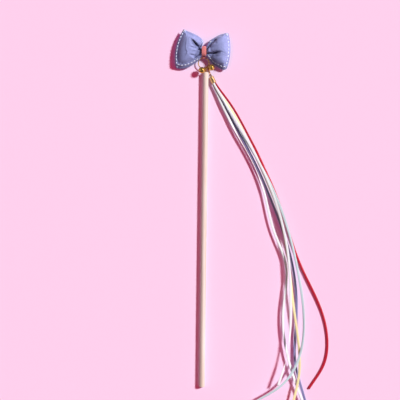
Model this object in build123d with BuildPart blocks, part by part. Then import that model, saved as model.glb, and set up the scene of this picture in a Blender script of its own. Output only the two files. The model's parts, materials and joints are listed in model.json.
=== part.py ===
from build123d import *
import os
from math import cos, radians, sin

# A ribbon wand: a wooden stick with a screw eye, a ring that carries a padded bow and two
# jingle bells, and a tassel of six ribbons glued into a metal cap.
# The origin is the centre of the stick's bottom face and +Z runs up the stick. The bow is wide
# along X, its front faces -Y, and the tassel hangs on the +X side.

# Stick
stick_length = 400
stick_radius = 3.5
stick_bottom_chamfer = 0.4
stick_top_chamfer = 0.7
pilot_hole_depth = 9

# Screw eye
eye_height = 404.6
eye_radius = 2.2
eye_wire_radius = 0.6
shank_radius = 0.7
shank_length = 8
shank_tip_length = 1.2

# Main ring, which passes through the screw eye
ring_x = -2.8
ring_height = 411.6
ring_radius = 6.9
ring_wire_radius = 0.6

# Bow: the two panels meet in its middle plane, and the wrap is centred on its waist
bow_x = -2.7
bow_y = -4.6
bow_z = 426.2
panel_thickness = 0.6
lobe_centre = {"left": (-20, 3), "right": (18, 0)}
lobe_half_width = 15
pad_levels = [(0, 0.86, 1.6), (4.6, 0.8, 1.2), (8.8, 0.5, 0)]
waist_half_length = 4.2
wrap_width = 6.4
wrap_height = 13.2
wrap_depth = 11.1
wrap_corner = 4
wrap_thickness = 0.8
wrap_play = 0.05

# Running stitch round the edge of the bow
stitch_line_size = 0.9
stitch_line_rise = 1.2
stitch_pitch = 4.4
stitch_length = 2.5
stitch_width = 0.6
stitch_height = 0.35
stitch_clear_of_waist = 6.5

# Tab that holds the bow on the main ring
tab_inner_radius = 0.95
tab_thickness = 0.4
tab_width = 3.2
tab_tail = 8.5

# Jingle bells: for each one the angle of its loop round the ring, the bell's middle, and the
# turn of its slot about its own axis
bells = {"left": (-13, (-5, -5.3, 402.05), -56), "right": (66, (7.1, -3.9, 405.8), 90)}
bell_radius = 4
bell_wall = 0.4
bell_bead_radius = 0.25
bell_slot_width = 1.1
bell_slot_depth = 1.2
bell_hole_radius = 0.9
bell_hole_distance = 2.4
pellet_radius = 1.3
pellet_drop = 1.8
bell_loop_radius = 1.5
bell_loop_wire_radius = 0.35
bell_loop_foot = 2.8
bell_loop_bend = 5.65
leg_hole_play = 0.02

# Oval link between the main ring and the cap
link_ring_angle = 48
link_lean = 18
link_twist = 20
link_length = 14.2
link_width = 4.4
link_wire_radius = 0.5
link_end_play = 0.3

# Cap and its loop
cap_lean = 28
cap_radius = 3.15
cap_length = 8.9
cap_wall = 0.45
cap_top_thickness = 0.8
cap_edge = 0.5
cap_loop_radius = 1.4
cap_loop_wire_radius = 0.45
cap_loop_sink = 0.35

# Ribbons: flat strips in six layers, front to back, that spread from the cap to their tips.
# For each one: how far it lies to the side in the cap, and the points its middle line passes
# below the cap.
ribbon_width = 3
ribbon_thickness = 0.4
ribbon_tuck = 2.2
ribbon_end_gap = 0.4
layer_pitch_in_cap = 0.55
layer_pitch_at_tips = 2.36
rear_layer_at_tips = 3.3
ribbons = {
    "white_ribbon_right": (
        -0.4,
        [(23.2, 365), (50.5, 320), (90, 238), (107, 170), (111, 98), (106, 35), (96, 4)],
    ),
    "sky_blue_ribbon": (
        -0.5,
        [(20.8, 366), (49.5, 318), (93, 238), (118, 157), (128, 90), (119, 30), (99, 2), (65, -18)],
    ),
    "yellow_ribbon": (
        -0.3,
        [(24.8, 365), (51.6, 320), (90, 236), (107, 160), (118, 83), (123, 18), (115, -22)],
    ),
    "white_ribbon_left": (
        -0.85,
        [(19.2, 365), (42, 320), (75, 252), (89, 199), (105, 157), (102, 98), (113, 24), (131, -24)],
    ),
    "periwinkle_ribbon": (
        -0.6,
        [(20.2, 365), (44.5, 320), (85, 238), (113, 157), (119, 90), (118, 34), (133, -22)],
    ),
    "red_ribbon": (
        0.45,
        [(27.5, 365), (55, 320), (95, 238), (123, 157), (151, 98), (159, 60), (155, 30), (136, -1)],
    ),
}


def along_ring(angle):
    """Point on the main ring's wire, at an angle from its lowest point towards +X."""
    across = ring_radius * sin(radians(angle))
    down = ring_radius * cos(radians(angle))
    return Vector(ring_x + across, 0, ring_height - down)


def ring_tangent(angle):
    """Direction of the main ring's wire at that angle."""
    return Vector(cos(radians(angle)), 0, sin(radians(angle)))


def leaning(angle):
    """Downward direction that leans towards +X by an angle."""
    return Vector(sin(radians(angle)), 0, -cos(radians(angle)))


def upright_plane(origin, across, up):
    """Plane whose x axis runs across and whose y axis runs up."""
    return Plane(origin=origin, x_dir=across, z_dir=across.cross(up))


def lobe_plane(side, depth, rise=0):
    """Plane facing -Y, at a depth in front of the bow's middle, centred on one lobe."""
    across, up = lobe_centre[side]
    origin = Vector(bow_x + across, bow_y - depth, bow_z + up + rise)
    return upright_plane(origin, Vector(1, 0, 0), Vector(0, 0, 1))


def finish(piece, name):
    piece.part.label = name
    export_step(piece.part, f"parts/{name}.step")


def make_stick():
    with BuildPart() as stick:
        with BuildSketch():
            Circle(stick_radius)
        extrude(amount=stick_length)
        chamfer(stick.edges().group_by(Axis.Z)[0], length=stick_bottom_chamfer)
        chamfer(stick.edges().group_by(Axis.Z)[-1], length=stick_top_chamfer)
        with BuildSketch(Plane.XY.offset(stick_length)):
            Circle(shank_radius)
        extrude(amount=-pilot_hole_depth, mode=Mode.SUBTRACT)
    finish(stick, "stick")


def make_screw_eye():
    tip = stick_length - shank_length
    shoulder = eye_height - eye_radius
    with BuildPart() as eye:
        with BuildSketch(Plane.XZ):
            with Locations((0, eye_height + eye_radius)):
                Circle(eye_wire_radius)
        revolve(axis=Axis((0, 0, eye_height), (1, 0, 0)))
        with BuildSketch(Plane.XZ):
            with BuildLine():
                Polyline(
                    (0, tip),
                    (shank_radius, tip + shank_tip_length),
                    (shank_radius, shoulder),
                    (0, shoulder),
                    close=True,
                )
            make_face()
        revolve(axis=Axis.Z)
    finish(eye, "screw_eye")


def make_main_ring():
    with BuildPart(Plane(origin=(ring_x, 0, ring_height), z_dir=(0, -1, 0))) as ring:
        Torus(ring_radius, ring_wire_radius)
    finish(ring, "main_ring")


def lobe_edges(side):
    """Top, outer and bottom edge of one lobe, from the waist outwards and back to the waist."""
    if side == "left":
        top = [(16.2, 0.5), (16.9, 4.5), (18.9, 8.8), (17.3, 12), (12.9, 15.7), (7, 18.8), (-6, 24.6)]
        outer = (-15.7, -0.8)
        bottom = [(-15.2, -23.9), (-0.6, -23.3), (8.6, -18.1), (15.2, -12.6), (16.5, -8.8)]
    else:
        top = [(-14, 2.3), (-13.4, 8.8), (-9.8, 14.1), (-5, 17.2), (0.2, 20.2), (12.5, 23.4)]
        outer = (15.4, 3)
        bottom = [(11.3, -20.7), (5.9, -22.6), (0.7, -19.7), (-4.5, -17.1), (-11.2, -9.5), (-14.3, -5.3)]
    return [Spline(*top), ThreePointArc(top[-1], outer, bottom[0]), Spline(*bottom)]


def lobe_section(side, depth, size=1, rise=0):
    """Outline of one lobe, as a face at a depth, scaled about the lobe's middle and raised."""
    with BuildSketch(lobe_plane(side, depth, rise), mode=Mode.PRIVATE) as section:
        with BuildLine() as outline:
            lobe_edges(side)
            Line(outline.line @ 1, outline.line @ 0)
        make_face()
        scale(by=size)
    return section.sketch


def make_pad(side, front, skin):
    """Cushion of one lobe on one face of the bow, moved inwards by a skin thickness."""
    shrink = skin / lobe_half_width
    with BuildPart() as pad:
        for depth, size, rise in pad_levels:
            add(lobe_section(side, front * depth * (1 - shrink), size - shrink, rise))
        loft()
    return pad.part


def make_waist(front):
    """Gathered half of the bow's waist, inside the wrap."""
    inner_height = wrap_height - 2 * (wrap_thickness + wrap_play)
    inner_depth = wrap_depth - 2 * (wrap_thickness + wrap_play)
    with BuildPart() as waist:
        with BuildSketch(Plane.YZ.offset(bow_x - waist_half_length)):
            with Locations((bow_y, bow_z)):
                RectangleRounded(inner_depth, inner_height, wrap_corner - wrap_thickness)
            with Locations((bow_y + front * inner_depth / 2, bow_z)):
                Rectangle(inner_depth, inner_height, mode=Mode.SUBTRACT)
        extrude(amount=2 * waist_half_length)
    return waist.part


def make_panel(front, name):
    """One face of the bow: a flat edge, two hollow cushions and the waist between them."""
    skins = [make_pad(side, front, 0) for side in lobe_centre]
    hollows = [make_pad(side, front, panel_thickness) for side in lobe_centre]
    with BuildPart() as panel:
        for side in lobe_centre:
            extrude(lobe_section(side, 0), amount=front * panel_thickness)
        add(skins)
        add(make_waist(front))
        add(hollows, mode=Mode.SUBTRACT)
    finish(panel, name)


def make_stuffing(side, name):
    with BuildPart() as stuffing:
        add([make_pad(side, front, panel_thickness) for front in (-1, 1)])
    finish(stuffing, name)


def stitch_places(side):
    """Middle and direction of each stitch along the edges of one lobe, clear of the wrap."""
    with BuildLine(mode=Mode.PRIVATE):
        edges = lobe_edges(side)
    places = []
    for edge in edges:
        count = round(edge.length / stitch_pitch)
        for n in range(count):
            share = (n + 0.5) / count
            middle = (edge @ share) * stitch_line_size
            if abs(middle.X + lobe_centre[side][0]) > stitch_clear_of_waist:
                turn = (0, 0, edge.tangent_angle_at(share))
                places.append(Location((middle.X, middle.Y, 0), turn))
    return places


def make_stitching():
    with BuildPart() as stitching:
        for side in lobe_centre:
            for front in (-1, 1):
                with BuildSketch(lobe_plane(side, front * panel_thickness, stitch_line_rise)):
                    with Locations(*stitch_places(side)):
                        SlotOverall(stitch_length, stitch_width)
                extrude(amount=front * stitch_height)
    finish(stitching, "edge_stitching")


def make_wrap():
    with BuildPart() as wrap:
        with BuildSketch(Plane.YZ.offset(bow_x - wrap_width / 2)):
            with Locations((bow_y, bow_z)):
                RectangleRounded(wrap_depth, wrap_height, wrap_corner)
                RectangleRounded(
                    wrap_depth - 2 * wrap_thickness,
                    wrap_height - 2 * wrap_thickness,
                    wrap_corner - wrap_thickness,
                    mode=Mode.SUBTRACT,
                )
        extrude(amount=wrap_width)
    finish(wrap, "centre_wrap")


def make_tab():
    """Ribbon tab round the top of the main ring, with its tail up the back of the wrap."""
    ring_top = ring_height + ring_radius
    with BuildPart() as tab:
        with BuildSketch(Plane.YZ.offset(ring_x - tab_width / 2)):
            with Locations((0, ring_top)):
                Circle(tab_inner_radius + tab_thickness)
            with Locations((tab_inner_radius, ring_top)):
                Rectangle(tab_thickness, tab_tail, align=(Align.MIN, Align.MIN))
            with Locations((0, ring_top)):
                Circle(tab_inner_radius, mode=Mode.SUBTRACT)
        extrude(amount=tab_width)
    finish(tab, "ring_tab")


def make_bell(side, ring_angle, middle, slot_turn):
    """Jingle bell hung on the main ring: a wire loop, two pressed shells and a pellet."""
    tangent = ring_tangent(ring_angle)
    up = (along_ring(ring_angle) - middle).normalized()
    across = (tangent - up * tangent.dot(up)).normalized()
    level = Plane(origin=middle, x_dir=across, z_dir=up)
    slot_level = level.offset(-bell_slot_depth).rotated((0, 0, slot_turn))
    upright = upright_plane(middle, up.cross(across), up)
    axis = Axis(middle, up)
    inner_radius = bell_radius - bell_wall

    with BuildPart() as loop:
        with BuildLine(upright) as wire:
            Line((bell_loop_radius, bell_loop_foot), (bell_loop_radius, bell_loop_bend))
            CenterArc((0, bell_loop_bend), bell_loop_radius, 0, 180)
            Line((-bell_loop_radius, bell_loop_bend), (-bell_loop_radius, bell_loop_foot))
        with BuildSketch(Plane(origin=wire.line @ 0, z_dir=up)):
            Circle(bell_loop_wire_radius)
        sweep(path=wire.line)
    finish(loop, f"{side}_bell_loop")

    with BuildPart() as top:
        with BuildSketch(upright):
            with BuildLine():
                CenterArc((0, 0), bell_radius, 0, 90)
                Line((0, bell_radius), (0, inner_radius))
                CenterArc((0, 0), inner_radius, 0, 90)
                Line((inner_radius, 0), (bell_radius, 0))
            make_face()
        revolve(axis=axis)
        with BuildSketch(level):
            with Locations((0, bell_loop_radius), (0, -bell_loop_radius)):
                Circle(bell_loop_wire_radius + leg_hole_play)
        extrude(amount=bell_radius, mode=Mode.SUBTRACT)
    finish(top, f"{side}_bell_top")

    with BuildPart() as bottom:
        with BuildSketch(upright):
            with BuildLine():
                CenterArc((0, 0), bell_radius, 0, -90)
                Line((0, -bell_radius), (0, -inner_radius))
                CenterArc((0, 0), inner_radius, 0, -90)
                Line((inner_radius, 0), (bell_radius, 0))
            make_face()
            with Locations((bell_radius, -bell_bead_radius)):
                Circle(bell_bead_radius)
        revolve(axis=axis)
        with BuildSketch(slot_level):
            Rectangle(2 * bell_hole_distance, bell_slot_width)
            with Locations((bell_hole_distance, 0), (-bell_hole_distance, 0)):
                Circle(bell_hole_radius)
        extrude(amount=-bell_radius, mode=Mode.SUBTRACT)
    finish(bottom, f"{side}_bell_bottom")

    with BuildPart(level.offset(-pellet_drop)) as pellet:
        Sphere(pellet_radius)
    finish(pellet, f"{side}_bell_pellet")


def make_link():
    """Oval link on the main ring. Returns the middle of its wire at its lower end."""
    bend = link_width / 2 - link_wire_radius
    half_straight = link_length / 2 - bend - link_wire_radius
    down = leaning(link_lean)
    across = Vector(0, 1, 0).rotate(Axis((0, 0, 0), down), link_twist)
    play = ring_wire_radius + link_wire_radius + link_end_play
    middle = along_ring(link_ring_angle) + down * (half_straight + bend - play)
    with BuildPart() as link:
        with BuildLine(upright_plane(middle, across, -down)) as oval:
            Line((bend, -half_straight), (bend, half_straight))
            CenterArc((0, half_straight), bend, 0, 180)
            Line((-bend, half_straight), (-bend, -half_straight))
            CenterArc((0, -half_straight), bend, 180, 180)
        with BuildSketch(Plane(origin=oval.line @ 0, z_dir=oval.line % 0)):
            Circle(link_wire_radius)
        sweep(path=oval.line)
    finish(link, "tassel_link")
    return middle + down * (half_straight + bend)


def make_cap(pivot):
    """Cap, its loop round the link's lower end, and the glue. Returns the cap's mouth."""
    down = leaning(cap_lean)
    side = Vector(0, 1, 0).cross(down)
    top = pivot + down * (cap_loop_radius + cap_loop_wire_radius - cap_loop_sink)
    bore_radius = cap_radius - cap_wall
    glue_length = cap_length - cap_top_thickness - ribbon_tuck - ribbon_end_gap

    with BuildPart(Plane(origin=pivot, z_dir=(0, -1, 0))) as loop:
        Torus(cap_loop_radius, cap_loop_wire_radius)
        with BuildSketch(Plane(origin=top, x_dir=side, z_dir=down)):
            Circle(cap_radius)
        extrude(amount=cap_radius, mode=Mode.SUBTRACT)
    finish(loop, "cap_loop")

    with BuildPart() as cap:
        with BuildSketch(upright_plane(top, side, -down)):
            with BuildLine():
                Polyline(
                    (0, 0),
                    (cap_radius, 0),
                    (cap_radius, -cap_length),
                    (bore_radius, -cap_length),
                    (bore_radius, -cap_top_thickness),
                    (0, -cap_top_thickness),
                    close=True,
                )
            make_face()
        revolve(axis=Axis(top, down))
        fillet(cap.faces().sort_by(Axis(top, down))[0].edges(), cap_edge)
    finish(cap, "tassel_cap")

    with BuildPart() as glue:
        with BuildSketch(Plane(origin=top + down * cap_top_thickness, x_dir=side, z_dir=down)):
            Circle(bore_radius)
        extrude(amount=glue_length)
    finish(glue, "glue_plug")
    return top + down * cap_length


def make_ribbon(name, layer, shift, points, mouth):
    """Flat ribbon in its own plane, tucked into the cap's mouth."""
    layers_behind = len(ribbons) - 1 - layer
    at_cap = (layer - (len(ribbons) - 1) / 2) * layer_pitch_in_cap
    at_tips = rear_layer_at_tips - layers_behind * layer_pitch_at_tips
    slope = (at_tips - at_cap) / mouth.Z
    origin = Vector(mouth.X, at_cap, mouth.Z)
    plane = upright_plane(origin, Vector(1, 0, 0), Vector(0, -slope, 1))
    out_of_cap = Vector(sin(radians(cap_lean)), -cos(radians(cap_lean)))
    across_cap = Vector(cos(radians(cap_lean)), sin(radians(cap_lean)))
    stations = [Vector(x - mouth.X, z - mouth.Z) for x, z in points]
    with BuildPart() as ribbon:
        with BuildSketch(plane):
            with BuildLine():
                Spline(
                    across_cap * shift - out_of_cap * ribbon_tuck,
                    *stations,
                    tangents=(out_of_cap, stations[-1] - stations[-2]),
                )
            trace(line_width=ribbon_width)
        extrude(amount=ribbon_thickness / 2, both=True)
    finish(ribbon, name)


os.makedirs("parts", exist_ok=True)
make_stick()
make_screw_eye()
make_main_ring()
make_panel(1, "bow_front_panel")
make_panel(-1, "bow_back_panel")
make_stuffing("left", "left_stuffing")
make_stuffing("right", "right_stuffing")
make_stitching()
make_wrap()
make_tab()
for side, (ring_angle, middle, slot_turn) in bells.items():
    make_bell(side, ring_angle, Vector(*middle), slot_turn)
cap_mouth = make_cap(make_link())
for layer, (name, (shift, points)) in enumerate(ribbons.items()):
    make_ribbon(name, layer, shift, points, cap_mouth)
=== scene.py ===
import json
from collections import Counter
from math import cos, pi, radians, sin, tau

import bpy
import numpy as np
from mathutils import Matrix, Vector
from mathutils.bvhtree import BVHTree

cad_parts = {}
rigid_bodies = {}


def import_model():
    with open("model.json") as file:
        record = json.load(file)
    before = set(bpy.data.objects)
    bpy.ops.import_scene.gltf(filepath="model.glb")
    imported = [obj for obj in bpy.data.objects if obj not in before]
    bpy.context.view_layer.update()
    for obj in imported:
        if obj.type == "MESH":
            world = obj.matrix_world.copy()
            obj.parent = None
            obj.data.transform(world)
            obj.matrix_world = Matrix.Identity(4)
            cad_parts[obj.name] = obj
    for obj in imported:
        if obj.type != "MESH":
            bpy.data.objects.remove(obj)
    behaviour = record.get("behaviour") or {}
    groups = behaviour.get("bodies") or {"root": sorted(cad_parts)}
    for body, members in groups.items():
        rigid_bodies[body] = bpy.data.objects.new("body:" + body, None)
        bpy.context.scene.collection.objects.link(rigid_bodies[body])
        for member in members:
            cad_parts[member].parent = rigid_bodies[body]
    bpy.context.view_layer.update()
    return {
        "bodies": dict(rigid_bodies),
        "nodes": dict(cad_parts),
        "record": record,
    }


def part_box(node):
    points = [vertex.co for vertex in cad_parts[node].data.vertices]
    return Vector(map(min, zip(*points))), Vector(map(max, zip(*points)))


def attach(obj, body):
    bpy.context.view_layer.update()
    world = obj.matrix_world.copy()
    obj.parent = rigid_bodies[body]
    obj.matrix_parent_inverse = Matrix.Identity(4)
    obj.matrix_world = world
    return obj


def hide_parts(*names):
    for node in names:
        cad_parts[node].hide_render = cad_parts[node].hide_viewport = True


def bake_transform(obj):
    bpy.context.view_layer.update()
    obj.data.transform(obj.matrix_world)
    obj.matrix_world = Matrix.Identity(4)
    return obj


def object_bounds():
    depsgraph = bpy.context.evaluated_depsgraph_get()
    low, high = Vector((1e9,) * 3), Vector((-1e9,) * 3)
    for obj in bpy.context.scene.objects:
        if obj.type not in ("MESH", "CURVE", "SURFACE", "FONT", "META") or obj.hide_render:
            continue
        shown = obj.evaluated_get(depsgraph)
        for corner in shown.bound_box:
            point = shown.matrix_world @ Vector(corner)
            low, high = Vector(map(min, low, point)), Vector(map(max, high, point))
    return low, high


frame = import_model()

# The looks of a ribbon wand: a padded bow, jingle bells and six satin ribbons on a wooden stick.
# Lengths are in metres. "Front" is -Y, the way the bow faces. A share is a number from 0 to 1.
MM = 0.001
rng = np.random.default_rng(seed=7)

# Bow: points of the grid on each lobe, on the neck beside it, and between the two necks
LOBE_COLUMNS = 62
LOBE_ROWS = 92
NECK_COLUMNS = 3
BRIDGE_COLUMNS = 3

# Height of a lobe's front over its middle plane, and how far inside the seam it rises. Both are
# less at the waist: (their share there, the share of the way out where they are full).
PAD_HEIGHT = 8.2 * MM
PAD_RISE = 3.3 * MM
HEIGHT_GROWTH = (0.74, 0.2)
RISE_GROWTH = (0.42, 0.35)
BACK_PER_FRONT = 0.94
SEAM_HEIGHT = 0.3 * MM

# Width of the flat edge outside the stitches: outer side, top edge, bottom edge
FLAT_EDGE = {"left": (1.6 * MM, 0.9 * MM, 4.4 * MM), "right": (2.2 * MM, 1.1 * MM, 3.6 * MM)}
# Share of the way out from the waist at which the flat edge is full
EDGE_FULL_AT = 0.3
# The bottom edge also tapers towards the waist, to this share of its width
BOTTOM_AT_WAIST = 0.35
# Slope by which the flat edge leans back, and the distance over which that starts
EDGE_LEAN = 1.25
LEAN_START = 1.2 * MM

# Gathers beside the waist: number, depth, reach as a share of the way out, and the height of lobe
# that carries them in full
GATHERS = 7
GATHER_DEPTH = 0.4 * MM
GATHER_REACH = 0.16
GATHER_HEIGHT = 2 * MM

# Folds of each lobe, in mm: start and end (outwards from the waist, upwards), bend, depth, width,
# and the side of its steep wall (1 above the line, -1 below it)
FOLDS = {
    "left": [
        ((3.4, 0.4), (15.8, 15.6), 0.3, 6.6, 1.2, 1),
        ((5.0, 2.4), (17.5, 5.2), 0.4, 1.6, 0.9, 1),
        ((4.6, -0.6), (16.5, -1.2), 0.3, 0.8, 1.0, 1),
        ((8.5, -4.9), (17.4, -5.6), -0.4, 1.6, 0.9, 1),
        ((3.4, -1.8), (12.8, -9.8), -0.4, 6.6, 1.1, -1),
    ],
    "right": [
        ((3.2, 0.8), (16.0, 14.6), 1.2, 6.6, 1.2, -1),
        ((3.2, -2.8), (19.8, -1.4), -0.4, 6.6, 1.25, 1),
        ((4.6, -5.0), (20.0, -6.4), -0.7, 1.7, 0.9, 1),
        ((5.0, 2.4), (16.0, 6.0), 0.6, 0.6, 1.2, 1),
    ],
}
# Reach of a fold's walls over its width, and how sharply the valley sets in
STEEP_SIDE = 0.7
GENTLE_SIDE = 2.1
VALLEY_POWER = 1.4
# Width of a fold along its length: its least share, and its swelling by a part of a half sine
NARROWEST = 0.6
SWELLING = 0.6
SWELL_START = 0.12
SWELL_SPAN = 0.8
# Shares of its length where a fold has vanished and over which it fades, and its tails in mm
VANISHED_AT = 1.12
FADING_SPAN = 0.5
FOLD_TAIL = 2.0
# Height of lobe that a fold cuts in full, and the share of the height that it leaves
FOLD_HEIGHT = 3 * MM
LEAST_HEIGHT = 0.15
# Painted shade along a fold: the width of its dark line over the fold's, and the depth in mm that
# makes it fully dark
LINE_WIDTH = 0.62
FULLY_DARK = 3.2

# The cloth is held at the seam, out to this distance inside it, and in the cores of folds that
# are deeper than this many mm, with this grip
PINNED_SEAM = 0.3 * MM
PINNED_DEPTH = 2
PINNED_CORE = 0.6
CORE_GRIP = 0.9

CLOTH_SCALE = 20
CLOTH_FRAMES = 18
CLOTH_REACH = 1.6 * MM
CLOTH_SETTINGS = {
    "quality": 5,
    "mass": 0.3,
    "tension_stiffness": 15,
    "compression_stiffness": 15,
    "shear_stiffness": 5,
    "bending_stiffness": 0.3,
    "vertex_group_mass": "pinned",
    "use_pressure": True,
    "uniform_pressure_force": 3.4,
    "shrink_min": -0.06,
}

# Necks: length, gap to the wrap's top and bottom, depth as a share of the waist's, and what they
# lose of depth and height on their way in
NECK_LENGTH = 1.8 * MM
NECK_INSET = 0.9 * MM
NECK_DEPTH = 0.84
NECK_DEPTH_LOSS = 0.12
NECK_HEIGHT_LOSS = 0.1

COVER_THICKNESS = 0.28 * MM
STUFFING_GAP = 0.9 * MM
LUMP_SIZE = 0.25 * MM
LUMP_ROUNDS = 3
LEAST_STUFFING = 0.05 * MM

# Running stitch: pitch, length of a stitch, and how far inside the flat edge each row lies
STITCH_PITCH = 4.3 * MM
STITCH_LENGTH = 2.9 * MM
OUTER_SHIFT = -0.1 * MM
BOTTOM_SHIFT = -0.2 * MM
TOP_SHIFT = 0.4 * MM
# Share of its length over which the outer row moves in from the corner
CORNER_SPAN = 0.02
# Part of a row, in shares of its length, where the stitches show at the back only
NOWHERE = (1, 1)
TOP_HIDDEN = (0.3, 0.85)
# Stitches are further from the wrap's middle than this, or this far above the wrap
WRAP_CLEARANCE = 6.2 * MM
WRAP_OVERHEAD = 4 * MM
# The thread rises in the middle of a stitch, and its ends sink into the cloth
THREAD_RADIUS = 0.42 * MM
THREAD_SIDES = 8
THREAD_POINTS = 9
THREAD_RISE = 0.55 * MM
THREAD_SINK = 0.18 * MM
ROW_POINTS = 200
PROBE_DISTANCE = 30 * MM

# Coral bands: points and pleats across, and slow waves along, which shift and flatten the pleats
# and narrow the band
BAND_COLUMNS = 19
PLEATS = 3.2
BAND_WAVES = 3
WAVE_START = 0.6
PLEAT_SHIFT = 0.8
FLATTEST_PLEAT = 0.6
BAND_NARROWING = 0.05

# Ribbons: size, points across, spacing of points along, and the length that bends below the cap
HALF_WIDTH = 1.5 * MM
RIBBON_THICKNESS = 0.22 * MM
RIBBON_COLUMNS = 9
RIBBON_STATION = 2.2 * MM
# Share by which a ribbon is narrower in the cap, and the length over which that fades
NARROWING = 0.34
NARROWING_LENGTH = 14 * MM
CUP_MEAN = 0.6
CUP_VARIATION = 0.4
CUP_WAVE = 17 * MM
EDGE_THINNING = 0.75
# Middle line of a ribbon: level cuts, gaps above and below them, and what is added at both ends
PATH_CUTS = 120
PATH_TOP_GAP = 2.2 * MM
PATH_END_GAP = 1.6 * MM
PATH_EXTENSION = 1.2 * MM

# How each ribbon lies, along shares of its length from the cap: its tilt about its own length in
# degrees, and its shift to the right in mm
RIBBONS = {
    "white_ribbon_right": {
        "cupping": 0.10,
        "tilt": [
            (0, 2), (0.2, 6), (0.4, -6), (0.6, 8), (0.82, 10), (0.88, 88), (0.925, 86), (0.955, 20),
        ],
        "shift": [(0, -0.6), (0.08, -0.5), (0.16, 0)],
    },
    "sky_blue_ribbon": {
        "cupping": 0.12,
        "tilt": [
            (0, -10), (0.04, -50), (0.08, -74), (0.13, -74), (0.18, -48), (0.22, -48),
            (0.32, -6), (0.6, 8), (0.75, -20), (0.9, 12), (1, 25),
        ],
        "shift": [(0, -0.1), (0.1, -0.3), (0.18, -0.7), (0.3, 0.3), (0.5, 0.3), (0.6, 0)],
    },
    "yellow_ribbon": {
        "cupping": 0.10,
        "tilt": [(0, 6), (0.2, 8), (0.45, 6), (0.7, 10), (0.85, -18), (1, 15)],
        "shift": [
            (0, -1.2), (0.05, -0.9), (0.09, 0), (0.13, 0), (0.19, -0.7),
            (0.35, -0.6), (0.45, 1.3), (0.57, 1.2), (0.68, 0),
        ],
    },
    "white_ribbon_left": {
        "cupping": 0.10,
        "tilt": [
            (0, 4), (0.11, 4), (0.17, 60), (0.22, 76), (0.3, 76),
            (0.36, 8), (0.6, 8), (0.85, 14), (1, 20),
        ],
        "shift": [
            (0, -1.3), (0.06, -0.9), (0.11, -0.2), (0.18, -0.3), (0.24, 0.3), (0.3, 0.3), (0.38, 0),
        ],
    },
    "periwinkle_ribbon": {
        "cupping": 0.12,
        "tilt": [(0, -6), (0.12, -8), (0.3, 2), (0.45, 14), (0.65, -20), (0.85, 18), (1, -10)],
        "shift": [(0, -0.3), (0.08, 0), (0.14, 0.6), (0.3, 1.2), (0.4, 0.4), (0.5, 0)],
    },
    "red_ribbon": {
        "cupping": 0.22,
        "tilt": [(0, -28), (0.12, -28), (0.2, -24), (0.28, -8), (0.5, -4), (0.75, -8), (1, -8)],
        "shift": [(0, 0.7), (0.1, 0.4), (0.24, 0.1), (0.3, -0.9), (0.42, -0.9), (0.52, 0)],
    },
}

# Backdrop: size, place behind the middle plane, colour, and the pink light that it gives off,
# which fades in corners narrower than the reach
BACKDROP_SIZE = 3.0
BACKDROP_GAP = 1.0 * MM
PAPER = (0.67, 0.62, 0.80)
PAPER_GLOW = (0.36, 0.0, 0.03)
GLOW_REACH = 18 * MM

# Studio: light from all round, colour past the backdrop's edge, and what metal reflects from the
# left (0) to the right (1), as (position, brightness)
AMBIENT = (0.085, 0.037, 0.058)
BEYOND = (0.93, 0.80, 0.87)
REFLECTED = [(0.0, 0.5), (0.3, 0.3), (0.45, 0.05), (0.64, 0.08), (0.82, 0.9), (1.0, 0.7)]
REFLECTED_TINT = (1.0, 0.95, 0.9)

# Camera: the point it faces, the width it sees there, and the slope of its roll
VIEW_CENTRE = Vector((-5.4 * MM, 0, 237.6 * MM))
VIEW_WIDTH = 508.4 * MM
VIEW_LENS = 100
VIEW_SENSOR = 36
VIEW_ROLL = 0.01223


# --- Materials ---
WHITE = (1.0, 1.0, 1.0)
# Share of its own colour that a soft surface gives off, in place of a white studio's fill light
FILL = 0.1
SATIN_FILL = 0.04
# Threads per metre
COTTON_THREADS = 2700
SATIN_THREADS = 3300
PLY_TURNS = 1800
# Colour of the painted shade in the bow's creases, and its strength at a crease's core
CREASE_SHADE_COLOUR = (0.014, 0.014, 0.06)
CREASE_SHADE_STRENGTH = 0.9
# Sockets of a Mix node that mixes colours
MIX_FIRST = 6
MIX_SECOND = 7
MIX_RESULT = 2


class Nodes:
    """Shader nodes of a material or a world, added one by one."""

    def __init__(self, tree):
        self.tree = tree
        self.coords = self.add("TexCoord", {})

    def put(self, value, socket):
        """Links a socket to another one, or gives it a fixed value."""
        if isinstance(value, bpy.types.NodeSocket):
            self.tree.links.new(value, socket)
        else:
            socket.default_value = value

    def add(self, kind, inputs, **settings):
        node = self.tree.nodes.new("ShaderNode" + kind)
        for key, value in settings.items():
            setattr(node, key, value)
        for key, value in inputs.items():
            self.put(value, node.inputs[key])
        return node

    def math(self, operation, *values):
        inputs = dict(enumerate(values))
        return self.add("Math", inputs, operation=operation).outputs[0]

    def ramp(self, factor, *stops):
        """Colours at positions from 0 to 1, blended by a factor. A stop is (position, colour)."""
        ramp = self.add("ValToRGB", {"Fac": factor})
        elements = ramp.color_ramp.elements
        while len(elements) < len(stops):
            elements.new(0.5)
        for element, (position, colour) in zip(elements, stops):
            element.position = position
            element.color = (*colour, 1)
        return ramp.outputs["Color"]

    def blend(self, factor, first, second, mode="MIX"):
        """Two colours blended by a factor. Each is a socket or three numbers."""
        node = self.add("Mix", {"Factor": factor}, data_type="RGBA", blend_type=mode)
        for value, number in ((first, MIX_FIRST), (second, MIX_SECOND)):
            linked = isinstance(value, bpy.types.NodeSocket)
            self.put(value if linked else (*value, 1), node.inputs[number])
        return node.outputs[MIX_RESULT]


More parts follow.
